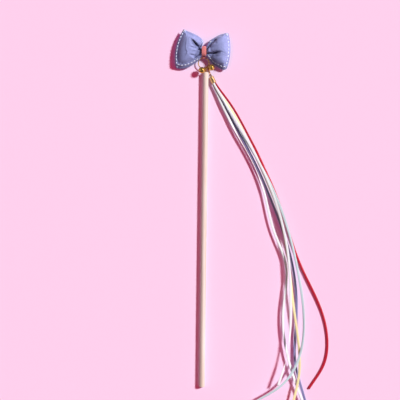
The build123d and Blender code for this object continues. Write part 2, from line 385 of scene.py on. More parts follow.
class Look(Nodes):
    """A procedural material under construction."""

    def __init__(self, name, **inputs):
        self.material = bpy.data.materials.new(name)
        self.material.use_nodes = True
        super().__init__(self.material.node_tree)
        self.shader = self.tree.nodes["Principled BSDF"]
        self.put(0.0 if "Metallic" in inputs else FILL, self.shader.inputs["Emission Strength"])
        for key, value in inputs.items():
            self.put(value, self.shader.inputs[key.replace("_", " ")])

    def noise(self, scale, detail=3.0, source="Object", distortion=0.0):
        """Noise from 0 to 1. The scale is in cycles per metre, for all axes or for each."""
        scales = scale if isinstance(scale, tuple) else (scale,) * 3
        spot = self.add("Mapping", {"Vector": self.coords.outputs[source], "Scale": scales})
        inputs = {"Vector": spot.outputs["Vector"], "Scale": 1.0, "Detail": detail}
        inputs["Distortion"] = distortion
        return self.add("TexNoise", inputs).outputs["Fac"]

    def ripple(self, axis, cycles, source="Object"):
        """Sine wave along one axis, from -1 to 1, with its cycles per metre."""
        parts = self.add("SeparateXYZ", {"Vector": self.coords.outputs[source]})
        return self.math("SINE", self.math("MULTIPLY", parts.outputs[axis], cycles * tau))

    def openness(self, distance, samples=6):
        """How open the space round a point is, from 0 in a corner to 1."""
        return self.add("AmbientOcclusion", {"Distance": distance}, samples=samples).outputs["AO"]

    def spread(self, factor, low, high):
        """A factor from 0 to 1 moved to the range from low to high."""
        inputs = {"Value": factor, "To Min": low, "To Max": high}
        return self.add("MapRange", inputs).outputs["Result"]

    def finish(self, colour, roughness, height, bump, depth, glow=None):
        """Sets the colour, roughness, bump (strength, and depth in metres) and glow."""
        self.put(colour, self.shader.inputs["Base Color"])
        self.put(glow or colour, self.shader.inputs["Emission Color"])
        self.put(roughness, self.shader.inputs["Roughness"])
        raised = self.add("Bump", {"Height": height, "Strength": bump, "Distance": depth})
        self.put(raised.outputs["Normal"], self.shader.inputs["Normal"])
        return self.material


def shade(colour, share):
    """A colour made darker, or lighter with a share above 1."""
    return tuple(min(1.0, channel * share) for channel in colour)


def woven_cotton(name, colour):
    """Plain-weave cotton with uneven threads, faint cloudy dye, and painted shade in corners and
    creases.
    """
    look = Look(name, Sheen_Weight=0.25, Sheen_Roughness=0.4, Specular_IOR_Level=0.2)
    warp = look.ripple("X", COTTON_THREADS)
    weft = look.ripple("Z", COTTON_THREADS)
    over_under = look.math("MULTIPLY", warp, weft)
    slubs = look.math("ADD", look.noise((2600, 300, 140)), look.noise((140, 300, 2600)))
    clouds = look.noise(130, detail=4.0)
    dyed = look.ramp(clouds, (0.3, shade(colour, 0.86)), (0.7, shade(colour, 1.1)))
    lines = look.ramp(look.math("MULTIPLY", slubs, 0.5), (0.35, shade(WHITE, 0.82)), (0.65, WHITE))
    coloured = look.blend(0.6, dyed, lines, "MULTIPLY")
    # Painted shade: the cloth darkens where it is hemmed in, in corners and in deep folds
    deep = look.ramp(look.openness(4 * MM), (0.2, (0.10, 0.08, 0.16)), (0.72, WHITE))
    coloured = look.blend(1.0, coloured, deep, "MULTIPLY")
    # Painted shade along the creases, read from the cover's point attribute
    painted_crease_shade = look.add("Attribute", {}, attribute_name="painted_crease_shade").outputs["Fac"]
    coloured = look.blend(look.math("MULTIPLY", painted_crease_shade, CREASE_SHADE_STRENGTH), coloured, CREASE_SHADE_COLOUR)
    height = look.math("ADD", look.math("MULTIPLY", over_under, 0.5), slubs)
    rough = look.spread(clouds, 0.75, 0.92)
    return look.finish(coloured, rough, height, bump=0.5, depth=0.08 * MM)


def satin(name, colour, dark=0.72, roughness=0.34):
    """Ribbon satin: fine threads along the ribbon, faint wear, and a soft shine."""
    look = Look(name, Anisotropic=0.5, Sheen_Weight=0.15, Emission_Strength=SATIN_FILL)
    along = look.noise((9000, 60, 1), source="UV")
    wear = look.noise((400, 45, 1), source="UV")
    threads = look.ramp(along, (0.3, shade(colour, dark)), (0.65, colour))
    worn = look.ramp(wear, (0.3, shade(colour, 0.8)), (0.7, colour))
    coloured = look.blend(0.25, threads, worn)
    weft = look.ripple("Y", SATIN_THREADS, "UV")
    height = look.math("ADD", along, look.math("MULTIPLY", weft, 0.15))
    rough = look.spread(wear, roughness - 0.06, roughness + 0.12)
    return look.finish(coloured, rough, height, bump=0.35, depth=0.05 * MM)


def polished_metal(name, colour, roughness):
    """Plated metal: bright, with tarnish in patches, hair-fine scratches and painted shade in
    recesses.
    """
    look = Look(name, Metallic=1.0)
    tarnish = look.noise(420, detail=5.0)
    scratches = look.noise((9000, 1200, 700), detail=2.0)
    dull = shade(colour, 0.72)
    bright = shade(colour, 1.12)
    coloured = look.ramp(tarnish, (0.25, dull), (0.55, colour), (0.8, bright))
    # Painted shade: the metal darkens in its recesses, such as the bells' slots
    painted_recess_shade = look.ramp(look.openness(3 * MM), (0.1, (0.02, 0.012, 0.004)), (0.6, WHITE))
    coloured = look.blend(1.0, coloured, painted_recess_shade, "MULTIPLY")
    rough = look.spread(tarnish, roughness * 0.7, roughness * 1.5)
    return look.finish(coloured, rough, scratches, bump=0.12, depth=0.02 * MM)


def sanded_wood(name):
    """Pale hardwood dowel with its grain along Z."""
    look = Look(name, Coat_Weight=0.15, Coat_Roughness=0.35, Specular_IOR_Level=0.35)
    bands = look.noise((420, 420, 9), detail=5.0, distortion=0.6)
    pores = look.noise((2600, 2600, 70), detail=2.0)
    tint = look.ramp(
        bands,
        (0.3, (0.60, 0.43, 0.36)),
        (0.48, (0.72, 0.57, 0.51)),
        (0.7, (0.80, 0.67, 0.63)),
    )
    fine = look.ramp(pores, (0.3, (0.80, 0.70, 0.62)), (0.45, WHITE))
    coloured = look.blend(0.55, tint, fine, "MULTIPLY")
    height = look.math("ADD", bands, look.math("MULTIPLY", pores, 0.5))
    return look.finish(coloured, look.spread(pores, 0.42, 0.6), height, bump=0.25, depth=0.05 * MM)


def cotton_thread(name, colour):
    """Twisted embroidery thread: its plies slant round each stitch."""
    look = Look(name, Sheen_Weight=0.3, Specular_IOR_Level=0.3)
    parts = look.add("SeparateXYZ", {"Vector": look.coords.outputs["UV"]})
    climb = look.math("MULTIPLY", parts.outputs["Y"], PLY_TURNS)
    slant = look.math("ADD", parts.outputs["X"], climb)
    plies = look.math("SINE", look.math("MULTIPLY", slant, tau))
    fuzz = look.noise(3000, detail=2.0)
    tone = look.math("ADD", look.math("MULTIPLY", plies, 0.3), fuzz)
    coloured = look.ramp(tone, (0.2, shade(colour, 0.78)), (0.75, colour))
    return look.finish(coloured, look.spread(fuzz, 0.55, 0.8), plies, bump=0.5, depth=0.08 * MM)


def wadding(name):
    """Loose polyester fibre."""
    look = Look(name, Sheen_Weight=0.5)
    fibres = look.noise(900, detail=6.0, distortion=2.5)
    coloured = look.ramp(fibres, (0.3, (0.70, 0.69, 0.66)), (0.65, (0.93, 0.93, 0.91)))
    return look.finish(coloured, look.spread(fibres, 0.8, 1.0), fibres, bump=0.8, depth=0.3 * MM)


def set_glue(name):
    """Hard glue with small bubbles."""
    look = Look(name, Coat_Weight=0.4)
    bubbles = look.noise(2200, detail=2.0)
    coloured = look.ramp(bubbles, (0.3, (0.62, 0.50, 0.28)), (0.6, (0.85, 0.78, 0.58)))
    return look.finish(coloured, look.spread(bubbles, 0.25, 0.45), bubbles, bump=0.4, depth=0.1 * MM)


RECIPES = {
    "stick_wood": (sanded_wood,),
    "gold_hardware": (polished_metal, (0.87, 0.53, 0.14), 0.25),
    "cap_gold": (polished_metal, (0.90, 0.60, 0.31), 0.34),
    "link_gold": (polished_metal, (0.85, 0.45, 0.28), 0.36),
    "bow_fabric": (woven_cotton, (0.212, 0.232, 0.44)),
    "stuffing": (wadding,),
    "stitch_thread": (cotton_thread, (0.80, 0.84, 0.97)),
    "coral_ribbon": (satin, (0.70, 0.21, 0.215), 0.85, 0.5),
    "glue": (set_glue,),
    "white_satin": (satin, (0.84, 0.84, 0.87), 0.85, 0.45),
    "sky_blue_satin": (satin, (0.58, 0.70, 0.75), 0.8),
    "yellow_satin": (satin, (0.93, 0.80, 0.42), 0.85),
    "periwinkle_satin": (satin, (0.25, 0.24, 0.47)),
    "red_satin": (satin, (0.57, 0.015, 0.04), 0.7),
}
MATERIALS = {slot: make(f"{slot}_look", *inputs) for slot, (make, *inputs) in RECIPES.items()}
SLOTS = {part["node"]: part["material_slot"] for part in frame["record"]["subparts"]}


# --- Mesh helpers ---
SMOOTHER = {"levels": 1, "render_levels": 1}


def add_object(name, data):
    """New object in the scene, for a mesh, a lamp, a camera or nothing."""
    thing = bpy.data.objects.new(name, data)
    bpy.context.scene.collection.objects.link(thing)
    return thing


def make_piece(name, vertices, faces, node, uvs=None):
    """New smooth mesh object that replaces a CAD node, with that node's material."""
    mesh = bpy.data.meshes.new(name)
    mesh.from_pydata([tuple(v) for v in vertices], [], faces)
    mesh.materials.append(MATERIALS[SLOTS[node]])
    mesh.polygons.foreach_set("use_smooth", [True] * len(mesh.polygons))
    if uvs is not None:
        layer = mesh.uv_layers.new(name="UVMap")
        corners = np.zeros(len(mesh.loops), int)
        mesh.loops.foreach_get("vertex_index", corners)
        layer.data.foreach_set("uv", np.asarray(uvs, np.float32)[corners].ravel())
    mesh.update()
    piece = add_object(name, mesh)
    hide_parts(node)
    return piece


def modify(piece, **modifiers):
    """Gives a piece modifiers with their settings, and bakes them into its own mesh."""
    for kind, settings in modifiers.items():
        modifier = piece.modifiers.new(kind, kind)
        for key, value in settings.items():
            setattr(modifier, key, value)
    bpy.context.view_layer.update()
    graph = bpy.context.evaluated_depsgraph_get()
    mesh = bpy.data.meshes.new_from_object(piece.evaluated_get(graph), depsgraph=graph)
    piece.modifiers.clear()
    piece.data = mesh


def grid_faces(rows, columns, first=0, flip=False, closed_rows=False):
    """Quads of a grid of vertices that is stored row by row."""
    faces = []
    last = rows if closed_rows else rows - 1
    for i in range(last):
        below = first + i * columns
        above = first + (i + 1) % rows * columns
        for j in range(columns - 1):
            quad = (below + j, below + j + 1, above + j + 1, above + j)
            faces.append(quad[::-1] if flip else quad)
    return faces


def two_sided_faces(rows, columns):
    """Faces of a closed body: a grid, the same grid for its other side, and the rim between."""
    count = rows * columns
    faces = grid_faces(rows, columns) + grid_faces(rows, columns, count, flip=True)
    rim = list(range(columns))
    rim += [i * columns + columns - 1 for i in range(1, rows)]
    rim += [(rows - 1) * columns + j for j in range(columns - 2, -1, -1)]
    rim += [i * columns for i in range(rows - 2, 0, -1)]
    for a, b in zip(rim, rim[1:] + rim[:1]):
        faces.append((b, a, a + count, b + count))
    return faces


def tree_of(piece):
    corners = [v.co.copy() for v in piece.data.vertices]
    return BVHTree.FromPolygons(corners, [tuple(p.vertices) for p in piece.data.polygons])


def lengths_along(points):
    """Length of a polyline up to each of its points."""
    steps = np.linalg.norm(np.diff(points, axis=0), axis=1)
    return np.concatenate([[0], np.cumsum(steps)])


def unit(vectors):
    return vectors / np.linalg.norm(vectors, axis=1)[:, None]


def directions_along(points):
    """Unit direction of a polyline at each of its points."""
    return unit(np.gradient(points, axis=0))


def resample(points, count):
    """The same polyline with evenly spaced points."""
    along = lengths_along(points)
    places = np.linspace(0, along[-1], count)
    return np.stack([np.interp(places, along, points[:, k]) for k in range(points.shape[1])], 1)


def smoothed(points, rounds):
    """A polyline with its corners eased, and its ends kept."""
    points = points.copy()
    for _ in range(rounds):
        points[1:-1] = 0.25 * points[:-2] + 0.5 * points[1:-1] + 0.25 * points[2:]
    return points


def smoothstep(t):
    """0 below 0, 1 above 1, and a smooth rise between."""
    t = np.clip(t, 0, 1)
    return t * t * (3 - 2 * t)


def tube(centres, radii, sides):
    """Vertices, faces and uvs of a closed tube along a path."""
    centres = np.asarray(centres)
    tangents = directions_along(centres)
    first = unit(np.cross(tangents, [0, 1.0, 0]))
    second = np.cross(tangents, first)
    vertices, uvs = [], []
    for centre, radius, a, b, place in zip(centres, radii, first, second, lengths_along(centres)):
        for k in range(sides):
            turn = tau * k / sides
            vertices.append(centre + radius * (a * cos(turn) + b * sin(turn)))
            uvs.append((k / sides, place))
    last_ring = (len(centres) - 1) * sides
    faces = []
    for here in range(0, last_ring, sides):
        ahead = here + sides
        for k in range(sides):
            after = (k + 1) % sides
            faces.append((here + k, here + after, ahead + after, ahead + k))
    faces.append(tuple(reversed(range(sides))))
    faces.append(tuple(range(last_ring, last_ring + sides)))
    return vertices, faces, uvs


# --- Bow ---
# The way each lobe points along X
SIGN = {"left": -1, "right": 1}
MIDDLE_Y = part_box("bow_front_panel")[1].y
PANEL_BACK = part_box("bow_back_panel")[1].y
wrap_low, wrap_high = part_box("centre_wrap")
bow_middle = (wrap_low + wrap_high) / 2
# How near the middle plane the flat rim's points are, and the digits that make two points one
PLANE_TOLERANCE = 0.002 * MM
POINT_DIGITS = 6


def flat_outline():
    """The bow's outline in its middle plane, from the front panel's flat rim, as ordered (x, z)."""
    mesh = frame["nodes"]["bow_front_panel"].data
    on_plane = [abs(v.co.y - MIDDLE_Y) < PLANE_TOLERANCE for v in mesh.vertices]
    spots = [(round(v.co.x, POINT_DIGITS), round(v.co.z, POINT_DIGITS)) for v in mesh.vertices]
    uses = Counter()
    for face in mesh.polygons:
        if all(on_plane[i] for i in face.vertices):
            corners = [spots[i] for i in face.vertices]
            uses.update(frozenset(edge) for edge in zip(corners, corners[1:] + corners[:1]))
    links = {}
    for edge, count in uses.items():
        if count == 1 and len(edge) == 2:
            a, b = edge
            links.setdefault(a, []).append(b)
            links.setdefault(b, []).append(a)
    start = min(links)
    loop = [start]
    before = start
    here = links[start][0]
    while here != start:
        loop.append(here)
        onward = next(spot for spot in links[here] if spot != before)
        before, here = here, onward
    return np.array(loop)


def nearest(loop, x, z):
    return int(np.argmin((loop[:, 0] - x) ** 2 + (loop[:, 1] - z) ** 2))


def eased_stretch(loop, a, b, points):
    """The shorter way round a loop from index a to index b, with evenly spaced points."""
    count = len(loop)
    ahead = [(a + i) % count for i in range((b - a) % count + 1)]
    back = [(a - i) % count for i in range((a - b) % count + 1)]
    shorter = min((ahead, back), key=lambda way: lengths_along(loop[way])[-1])
    return smoothed(resample(loop[shorter], points), 2)


def lobe_curves(side, outline):
    """Top, bottom and outer edge of a lobe, and its waist line, as (x, z) points."""
    sign = SIGN[side]
    waist_x = wrap_low.x if side == "left" else wrap_high.x
    upper_corner = int(np.argmax(sign * outline[:, 0] + outline[:, 1]))
    lower_corner = int(np.argmax(sign * outline[:, 0] - outline[:, 1]))
    high = nearest(outline, waist_x, wrap_high.z - NECK_INSET)
    low = nearest(outline, waist_x, wrap_low.z + NECK_INSET)
    top = eased_stretch(outline, high, upper_corner, LOBE_COLUMNS)
    bottom = eased_stretch(outline, low, lower_corner, LOBE_COLUMNS)
    outer = eased_stretch(outline, lower_corner, upper_corner, LOBE_ROWS)
    share = np.linspace(0, 1, LOBE_ROWS)[:, None]
    waist = bottom[0] * (1 - share) + top[0] * share
    return top, bottom, outer, waist


def filled_patch(top, bottom, outer, waist):
    """Grid of (x, z) between four edges: rows from the bottom up, columns from the waist out."""
    u = np.linspace(0, 1, LOBE_COLUMNS)[None, :, None]
    v = np.linspace(0, 1, LOBE_ROWS)[:, None, None]
    across = bottom[None] * (1 - v) + top[None] * v
    along = waist[:, None] * (1 - u) + outer[:, None] * u
    corners = (
        bottom[0] * (1 - u) * (1 - v)
        + bottom[-1] * u * (1 - v)
        + top[0] * (1 - u) * v
        + top[-1] * u * v
    )
    return across + along - corners


def distance_to(points, curve):
    """Distance from each grid point to the nearest point of a curve."""
    gaps = points[:, :, None, :] - curve[None, None]
    return np.sqrt((gaps**2).sum(-1)).min(-1)


def fold_profile(points, side):
    """How deep each point lies in the lobe's folds, how near a fold's core, and its painted shade."""
    out = SIGN[side] * (points[..., 0] - bow_middle.x) / MM
    up = (points[..., 1] - bow_middle.z) / MM
    depth = np.zeros(out.shape)
    core = np.zeros(out.shape)
    dark = np.zeros(out.shape)
    for (x0, z0), (x1, z1), bend, deep, width, steep in FOLDS[side]:
        length = np.hypot(x1 - x0, z1 - z0)
        dx = (x1 - x0) / length
        dz = (z1 - z0) / length
        t = ((out - x0) * dx + (up - z0) * dz) / length
        inside = np.clip(t, 0, 1)
        off = (up - z0) * dx - (out - x0) * dz - bend * 4 * inside * (1 - inside)
        beyond = np.maximum(np.maximum(-t, t - 1), 0) * length
        fade = smoothstep((VANISHED_AT - t) / FADING_SPAN) * np.exp(-((beyond / FOLD_TAIL) ** 2))
        swell = np.sin(pi * (SWELL_START + SWELL_SPAN * inside))
        wide = width * (NARROWEST + SWELLING * swell)
        reach = wide * np.where(off * steep > 0, STEEP_SIDE, GENTLE_SIDE)
        valley = np.exp(-np.abs(off / reach) ** VALLEY_POWER)
        line = np.exp(-((off / (LINE_WIDTH * wide)) ** 2))
        depth += deep * fade * valley
        core = np.maximum(core, fade * valley * (deep > PINNED_DEPTH))
        dark = np.maximum(dark, fade * line * min(1, deep / FULLY_DARK))
    return depth * MM, core, dark


def grown(growth, u):
    """A share that grows from its value at the waist to 1, at shares u of the way out."""
    start, full_at = growth
    return start + (1 - start) * smoothstep(u / full_at)


def bottom_taper(share):
    """Width of the flat bottom edge at a share of the way out, over its full width."""
    return BOTTOM_AT_WAIST + (1 - BOTTOM_AT_WAIST) * share


def lobe_height(side, patch, curves):
    """A lobe before it is blown up, at each grid point: the height of its front over the middle
    plane, how firmly the cloth is pinned, how far the edge leans back, and its painted crease shade."""
    top, bottom, outer, _ = curves
    wide_outer, wide_top, wide_bottom = FLAT_EDGE[side]
    u = np.linspace(0, 1, LOBE_COLUMNS)[None, :]
    edge = smoothstep(u / EDGE_FULL_AT)
    from_outer = distance_to(patch, outer) - wide_outer
    from_top = distance_to(patch, top) - wide_top * edge
    from_bottom = distance_to(patch, bottom) - wide_bottom * bottom_taper(u) * edge
    nearness = np.minimum(np.minimum(from_outer, from_top), from_bottom)
    height = PAD_HEIGHT * grown(HEIGHT_GROWTH, u) * np.ones(patch.shape[:2])
    rise = PAD_RISE * grown(RISE_GROWTH, u)
    for distance in (from_outer, from_top, from_bottom):
        height *= 1 - np.exp(-np.maximum(distance, 0) / rise)
    wave = np.cos(np.linspace(0, GATHERS * tau, LOBE_ROWS))[:, None]
    gathers = GATHER_DEPTH * wave * np.exp(-u / GATHER_REACH)
    height += gathers * smoothstep(height / GATHER_HEIGHT)
    depth, core, dark = fold_profile(patch, side)
    folded = height - depth * smoothstep(height / FOLD_HEIGHT)
    height = np.maximum(folded, LEAST_HEIGHT * height)
    pinned = np.maximum((nearness < PINNED_SEAM).astype(float), CORE_GRIP * (core > PINNED_CORE))
    pinned[:, :1] = 1
    lean = EDGE_LEAN * np.maximum(-nearness, 0) * smoothstep(-nearness / LEAN_START)
    return np.maximum(height, 0) + SEAM_HEIGHT, pinned, lean, dark


def closed_lobe(front, back, flat, middle):
    """Vertices and faces of a closed bag from two sheets over the same (x, z) grid."""
    sheets = []
    for height, sign in ((front, -1), (back, 1)):
        sheet = np.stack([flat[..., 0], middle + sign * height, flat[..., 1]], -1)
        sheets.append(sheet.reshape(-1, 3))
    return np.concatenate(sheets), two_sided_faces(*front.shape)


def start_cloth(name, vertices, faces, pinned):
    """A bag that Blender's cloth can blow up, at a scale that suits the solver."""
    mesh = bpy.data.meshes.new(name)
    mesh.from_pydata([tuple(v) for v in vertices * CLOTH_SCALE], [], faces)
    bag = add_object(name, mesh)
    group = bag.vertex_groups.new(name="pinned")
    for weight in np.unique(pinned):
        if weight > 0:
            group.add([int(i) for i in np.flatnonzero(pinned == weight)], float(weight), "REPLACE")
    cloth = bag.modifiers.new("Cloth", "CLOTH")
    for key, value in CLOTH_SETTINGS.items():
        setattr(cloth.settings, key, value)
    cloth.settings.effector_weights.gravity = 0
    cloth.collision_settings.use_collision = False
    cloth.point_cache.frame_start = 1
    cloth.point_cache.frame_end = CLOTH_FRAMES
    return bag


def settle(bags):
    """Runs the cloth, and returns each bag's points with their movement capped."""
    scene = bpy.context.scene
    starts = [np.array([v.co for v in bag.data.vertices]) for bag in bags]
    for number in range(1, CLOTH_FRAMES + 1):
        scene.frame_set(number)
    reach = CLOTH_REACH * CLOTH_SCALE
    not_zero = 1e-12
    settled = []
    for bag, start in zip(bags, starts):
        shape = bag.evaluated_get(bpy.context.evaluated_depsgraph_get()).to_mesh()
        moved = np.array([v.co for v in shape.vertices]) - start
        size = np.linalg.norm(moved, axis=1)[:, None] + not_zero
        settled.append((start + moved / size * reach * np.tanh(size / reach)) / CLOTH_SCALE)
    scene.frame_set(1)
    for bag in bags:
        bpy.data.objects.remove(bag)
    return settled


def neck_columns(sheet, side):
    """The gathered cloth that runs from a lobe's waist into the wrap."""
    inward = np.array([-SIGN[side] * NECK_LENGTH, 0, 0])
    columns = []
    for step in range(NECK_COLUMNS, 0, -1):
        share = step / NECK_COLUMNS
        moved = sheet[:, 0] + inward * share
        depth = NECK_DEPTH - NECK_DEPTH_LOSS * share
        height = 1 - NECK_HEIGHT_LOSS * share
        moved[:, 1] = MIDDLE_Y + (moved[:, 1] - MIDDLE_Y) * depth
        moved[:, 2] = bow_middle.z + (moved[:, 2] - bow_middle.z) * height
        columns.append(moved)
    return np.stack(columns, 1)


def crease_shading(dark):
    """How dark the painted crease shade is at each point of a whole cover."""
    beside_neck = ((0, 0), (NECK_COLUMNS, 0))
    left = np.pad(dark["left"], beside_neck, "edge")[:, ::-1]
    right = np.pad(dark["right"], beside_neck, "edge")
    bridge = np.zeros((LOBE_ROWS, BRIDGE_COLUMNS))
    return np.concatenate([left, bridge, right], 1)


def cover(name, node, sheets, dark):
    """One continuous cloth cover from the left lobe's outer edge, through the wrap, to the right's."""
    left = np.concatenate([neck_columns(sheets["left"], "left"), sheets["left"]], 1)[:, ::-1]
    right = np.concatenate([neck_columns(sheets["right"], "right"), sheets["right"]], 1)
    shares = np.linspace(0, 1, BRIDGE_COLUMNS + 2)[1:-1]
    bridge = [left[:, -1] * (1 - share) + right[:, 0] * share for share in shares]
    whole = np.concatenate([left, np.stack(bridge, 1), right], 1)
    faces = grid_faces(*whole.shape[:2], flip=node == "bow_back_panel")
    piece = make_piece(name, whole.reshape(-1, 3), faces, node)
    # The painted crease shade goes onto the cover as a point attribute, for its material
    layer = piece.data.attributes.new("painted_crease_shade", "FLOAT", "POINT")
    layer.data.foreach_set("value", crease_shading(dark).ravel().astype(np.float32))
    modify(piece, SUBSURF=SMOOTHER, SOLIDIFY={"thickness": COVER_THICKNESS, "offset": -1})
    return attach(piece, "bow")


def stuffing(side, front, back, flat, middle):
    """Lumpy wadding that fills the inside of a lobe."""
    lumps = LUMP_SIZE * rng.standard_normal(front.shape)
    for _ in range(LUMP_ROUNDS):
        lumps[1:-1, 1:-1] = (
            lumps[:-2, 1:-1] + lumps[2:, 1:-1] + lumps[1:-1, :-2] + lumps[1:-1, 2:]
        ) / 4
    inner_front = np.maximum(front - STUFFING_GAP + lumps, LEAST_STUFFING)
    inner_back = np.maximum(back - STUFFING_GAP - lumps, LEAST_STUFFING)
    vertices, faces = closed_lobe(inner_front, inner_back, flat, middle)
    node = f"{side}_stuffing"
    piece = make_piece(f"{side}_wadding", vertices, faces, node)
    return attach(piece, "bow")


def stitch_points(curve, inset, inward):
    """Middle, direction and share of the way of each stitch, along a line inside an edge."""
    moved = resample(curve, ROW_POINTS)
    tangents = directions_along(moved)
    normals = np.stack([-tangents[:, 1], tangents[:, 0]], 1) * inward
    moved = moved + normals * inset[:, None]
    along = lengths_along(moved)
    count = max(2, round(along[-1] / STITCH_PITCH))
    places = (np.arange(count) + 0.5) / count * along[-1]
    middles = np.stack([np.interp(places, along, moved[:, k]) for k in (0, 1)], 1)
    turns = np.stack([np.interp(places, along, tangents[:, k]) for k in (0, 1)], 1)
    return middles, turns, places / along[-1]


def lobe_stitches(side, curves):
    """The stitches of a lobe, as (middle, direction, whether it shows at the front)."""
    top, bottom, outer, _ = curves
    wide_outer, wide_top, wide_bottom = FLAT_EDGE[side]
    share = np.linspace(0, 1, ROW_POINTS)
    rows = (
        (outer, (wide_outer + OUTER_SHIFT) * smoothstep(share / CORNER_SPAN), 1, NOWHERE),
        (bottom, (wide_bottom + BOTTOM_SHIFT) * bottom_taper(share), 1, NOWHERE),
        (top, (wide_top + TOP_SHIFT) * np.ones(ROW_POINTS), -1, TOP_HIDDEN),
    )
    found = []
    for curve, inset, turned, (hidden_from, hidden_to) in rows:
        for middle, turn, place in zip(*stitch_points(curve, inset, SIGN[side] * turned)):
            beside = abs(middle[0] - bow_middle.x) > WRAP_CLEARANCE
            above = middle[1] > wrap_high.z + WRAP_OVERHEAD
            if beside or above:
                found.append((middle, turn, not hidden_from < place < hidden_to))
    return found


def stitching(covers, places):
    """Every stitch of the running stitch, front and back, as short lengths of thread."""
    vertices, faces, uvs = [], [], []
    trees = [(tree_of(covers[0]), -1), (tree_of(covers[1]), 1)]
    shares = np.linspace(-0.5, 0.5, THREAD_POINTS)
    radii = THREAD_RADIUS * np.sqrt(np.clip(1.04 - (2 * shares) ** 6, 0.08, 1))
    for middle, turn, at_front in places:
        for tree, sign in trees:
            if sign < 0 and not at_front:
                continue
            path = []
            for share in shares:
                x, z = middle + turn / np.linalg.norm(turn) * share * STITCH_LENGTH
                origin = Vector((x, MIDDLE_Y + sign * PROBE_DISTANCE, z))
                hit = tree.ray_cast(origin, Vector((0, -sign, 0)))[0]
                if hit is None:
                    break
                rise = THREAD_RISE * cos(pi * share) - THREAD_SINK
                path.append((x, hit.y + sign * rise, z))
            if len(path) < THREAD_POINTS:
                continue
            more, quads, flat = tube(path, radii, THREAD_SIDES)
            offset = len(vertices)
            vertices += more
            faces += [tuple(i + offset for i in quad) for quad in quads]
            uvs += flat
    piece = make_piece("running_stitch", vertices, faces, "edge_stitching", uvs)
    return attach(piece, "bow")


def make_bow():
    """Blows up the two lobes, then makes their wadding, the two covers and the stitches."""
    outline = flat_outline()
    curves = {side: lobe_curves(side, outline) for side in SIGN}
    patches = {side: filled_patch(*curves[side]) for side in SIGN}
    bags, middles, dark = [], {}, {}
    for side in SIGN:
        height, pinned, lean, dark[side] = lobe_height(side, patches[side], curves[side])
        middles[side] = MIDDLE_Y + lean
        vertices, faces = closed_lobe(height, height * BACK_PER_FRONT, patches[side], middles[side])
        bags.append((vertices, faces, np.concatenate([pinned.ravel(), pinned.ravel()])))
    settled = settle([start_cloth(f"{side}_bag", *bag) for side, bag in zip(SIGN, bags)])
    fronts, backs = {}, {}
    for side, points in zip(SIGN, settled):
        front, back = points.reshape(2, LOBE_ROWS, LOBE_COLUMNS, 3)
        middle = middles[side]
        front[..., 1] = np.minimum(front[..., 1], middle - SEAM_HEIGHT)
        back[..., 1] = np.clip(back[..., 1], middle + SEAM_HEIGHT, PANEL_BACK)
        fronts[side] = front
        backs[side] = back
        stuffing(side, middle - front[..., 1], back[..., 1] - middle, front[..., ::2], middle)
    covers = [
        cover("front_cover", "bow_front_panel", fronts, dark),
        cover("back_cover", "bow_back_panel", backs, dark),
    ]
    stitching(covers, [stitch for side in SIGN for stitch in lobe_stitches(side, curves[side])])


def band(name, node, path, width, thickness, pleat, turned_in):
    """A ribbon band along a closed or open path in the YZ plane, with lengthwise pleats."""
    closed = bool(np.allclose(path[0], path[-1]))
    path = path[:-1] if closed else path
    rows = len(path)
    ahead = np.roll(path, -1, 0) - np.roll(path, 1, 0) if closed else np.gradient(path, axis=0)
    outward = unit(np.stack([ahead[:, 1], -ahead[:, 0]], 1))
    low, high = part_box(node)
    middle_x = (low.x + high.x) / 2
    along = lengths_along(path)
    vertices, uvs = [], []
    for i in range(rows):
        wave = 0.5 + 0.5 * sin(tau * BAND_WAVES * i / rows + WAVE_START)
        height = pleat * (FLATTEST_PLEAT + (1 - FLATTEST_PLEAT) * wave)
        narrow = 1 - BAND_NARROWING * wave
        for a in np.linspace(-1, 1, BAND_COLUMNS):
            lift = height * (cos(pi * PLEATS * a + PLEAT_SHIFT * wave) - 1)
            lift -= turned_in * abs(a) ** 4
            y, z = path[i] + outward[i] * lift
            vertices.append((middle_x + a * width / 2 * narrow, y, z))
            uvs.append((a * width / 2, along[i]))
    faces = grid_faces(rows, BAND_COLUMNS, closed_rows=closed)
    piece = make_piece(name, vertices, faces, node, uvs)
    modify(piece, SOLIDIFY={"thickness": thickness, "offset": 0}, SUBSURF=SMOOTHER)
    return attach(piece, "bow")


def make_wrap():
    """Coral ribbon that gathers the bow's waist, along a rounded lozenge inside the CAD wrap."""
    half_depth = (wrap_high.y - wrap_low.y) / 2 - 0.7 * MM
    half_height = (wrap_high.z - wrap_low.z) / 2 - 0.35 * MM
    squareness = 0.78
    turns = np.linspace(0, tau, 89)
    y = np.sign(np.cos(turns)) * np.abs(np.cos(turns)) ** squareness * half_depth + bow_middle.y
    z = np.sign(np.sin(turns)) * np.abs(np.sin(turns)) ** squareness * half_height + bow_middle.z
    path = np.stack([y, z], 1)
    width = 0.93 * (wrap_high.x - wrap_low.x)
    sizes = {"thickness": 0.35 * MM, "pleat": 0.16 * MM, "turned_in": 0.5 * MM}
    band("waist_wrap", "centre_wrap", path, width, **sizes)


